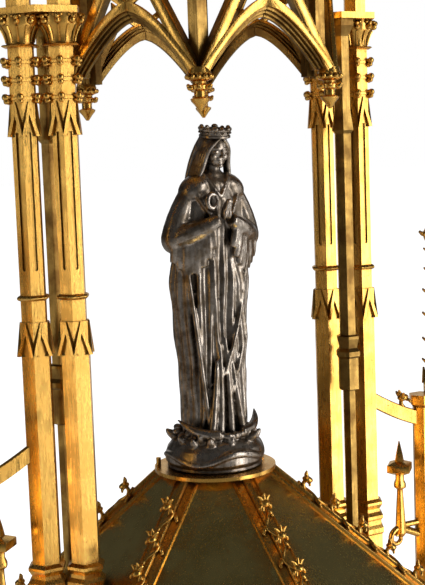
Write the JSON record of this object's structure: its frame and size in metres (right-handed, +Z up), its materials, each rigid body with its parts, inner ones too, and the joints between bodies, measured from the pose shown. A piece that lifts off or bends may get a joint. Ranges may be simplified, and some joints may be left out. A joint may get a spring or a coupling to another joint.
{
  "type": "monstrance",
  "caption": "Gilt Gothic tower monstrance: lobed foot, knop, glass vessel, crocketed roof with a crowned figure, pillared canopy and spire.",
  "frame": {"origin": "centre of the foot's flat underside", "axes": "+Z up, -Y the front that the figure faces, +X to the right seen from the front"},
  "size_m": [0.19, 0.1748, 0.861],
  "materials": {
    "gilt_brass": "fire-gilt, burnished, with dark residue in the recesses",
    "gilt_sheet": "gilt sheet, dulled to olive in the middle of each face",
    "oxidised_silver": "cast silver, oxidised dark, rubbed bright on the high points",
    "vessel_glass": "clear polished",
    "plain_steel": "plain turned",
    "enamel": "glossy blue enamel"
  },
  "bodies": {
    "monstrance": {"calyx": "gilt_sheet", "canopy_arcade": "gilt_brass", "canopy_cornice": "gilt_brass", "canopy_pendants": "gilt_brass", "capitals": "gilt_brass", "cluster_plates": "gilt_brass", "cross": "gilt_brass", "figure": "oxidised_silver", "figure_crown": "oxidised_silver", "figure_plinth": "oxidised_silver", "figure_screw": "plain_steel", "finial": "gilt_brass", "fixed_glass": "vessel_glass", "flying_buttresses": "gilt_brass", "foot_dome": "gilt_sheet", "foot_gallery": "gilt_brass", "foot_plate": "gilt_brass", "glass_jambs": "gilt_brass", "hinge_pins": "plain_steel", "jamb_knuckles": "gilt_brass", "knop": "gilt_brass", "knop_studs": "enamel", "latch_stud": "gilt_brass", "lower_bezel": "gilt_brass", "lower_gablets": "gilt_brass", "lower_shafts": "gilt_brass", "lower_stem": "gilt_brass", "lunula_rail": "gilt_brass", "middle_shafts": "gilt_brass", "outer_piers": "gilt_brass", "outer_spirelets": "gilt_brass", "pillar_bases": "gilt_brass", "pillar_pinnacles": "gilt_brass", "pillar_rings": "gilt_brass", "pinnacle_brackets": "gilt_brass", "platform": "gilt_brass", "platform_cresting": "gilt_brass", "roof_collar": "gilt_brass", "roof_cornice": "gilt_brass", "roof_crockets": "gilt_brass", "roof_ridges": "gilt_brass", "roof_shell": "gilt_sheet", "small_pinnacles": "gilt_brass", "spire": "gilt_brass", "spire_crockets": "gilt_brass", "stem_collar": "gilt_brass", "tie_nut": "plain_steel", "tie_rod": "plain_steel", "upper_bezel": "gilt_brass", "upper_gablets": "gilt_brass", "upper_shafts": "gilt_brass", "upper_stem": "gilt_brass"},
    "door": {"door_frame": "gilt_brass", "door_glass": "vessel_glass", "door_knuckles": "gilt_brass"},
    "latch": {"latch_hook": "gilt_brass"},
    "lunula": {"lunula_foot": "gilt_brass", "lunula_crescent": "gilt_brass", "lunula_pin": "plain_steel"},
    "clip": {"lunula_clip": "gilt_brass"}
  },
  "joints": [
    {"name": "door_swing", "type": "hinge", "parent": "monstrance", "child": "door", "pos_m": [-0.04282, 0.02423, 0.358], "axis": [0, 0, 1], "range_deg": [0, 100]},
    {"name": "latch_turn", "type": "hinge", "parent": "door", "child": "latch", "pos_m": [0.0365, 0.0326, 0.358], "axis": [0, -1, 0], "range_deg": [0, 90]},
    {"name": "lunula_slide", "type": "slide", "parent": "monstrance", "child": "lunula", "axis": [0, 1, 0], "range_m": [0, 0.008]},
    {"name": "clip_turn", "type": "hinge", "parent": "lunula", "child": "clip", "pos_m": [0, 0.002, 0.3192], "axis": [-1, 0, 0], "range_deg": [0, 15]}
  ]
}
